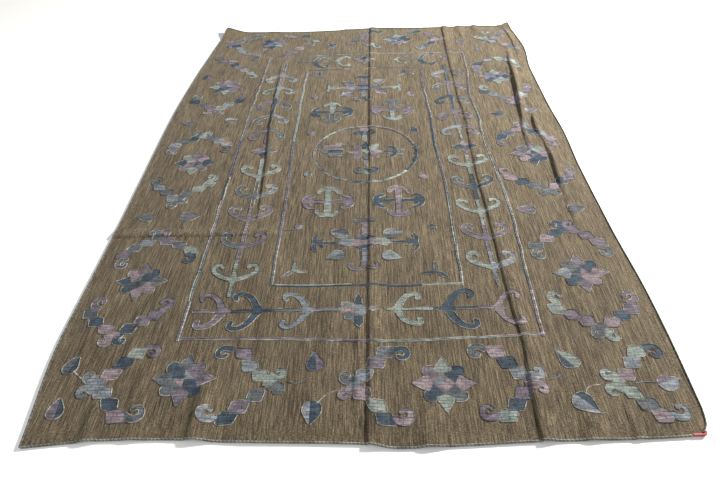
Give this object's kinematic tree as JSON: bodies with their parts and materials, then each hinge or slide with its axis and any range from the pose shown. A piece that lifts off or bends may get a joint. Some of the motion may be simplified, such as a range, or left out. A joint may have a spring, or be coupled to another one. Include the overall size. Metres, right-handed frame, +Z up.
{
  "type": "flat-woven embroidered rug",
  "caption": "Rectangular flat-woven kilim rug laid out on a floor, with hooked and starred embroidery, fold marks, curled far corners and an overcast cord edge.",
  "frame": {"origin": "on the floor under the middle of the rug's box", "axes": "+X across the rug to the right, +Y along the rug to its far end, +Z up off the floor"},
  "size_m": [1.9862, 3.0387, 0.0321],
  "materials": {
    "kilim_ground": "tan-brown hand-spun wool flatweave with lengthwise streaks, matt",
    "edging_thread": "grey-green wool overcasting, matt",
    "red_corner_thread": "coral red wool wrap, matt",
    "indigo_thread": "dark indigo embroidery wool, matt",
    "slate_thread": "slate embroidery wool, matt",
    "blue_grey_thread": "blue-grey embroidery wool, matt",
    "mauve_thread": "faded mauve embroidery wool, matt",
    "pink_thread": "faded pink embroidery wool, matt",
    "sage_thread": "sage green embroidery wool, matt",
    "outline_thread": "pale grey outline cord, matt"
  },
  "bodies": {
    "root": {"kilim_cloth": "kilim_ground", "near_end_cord": "edging_thread", "far_end_cord": "edging_thread", "left_side_cord": "edging_thread", "right_side_cord": "edging_thread", "corner_whipping": "red_corner_thread"}
  },
  "joints": []
}
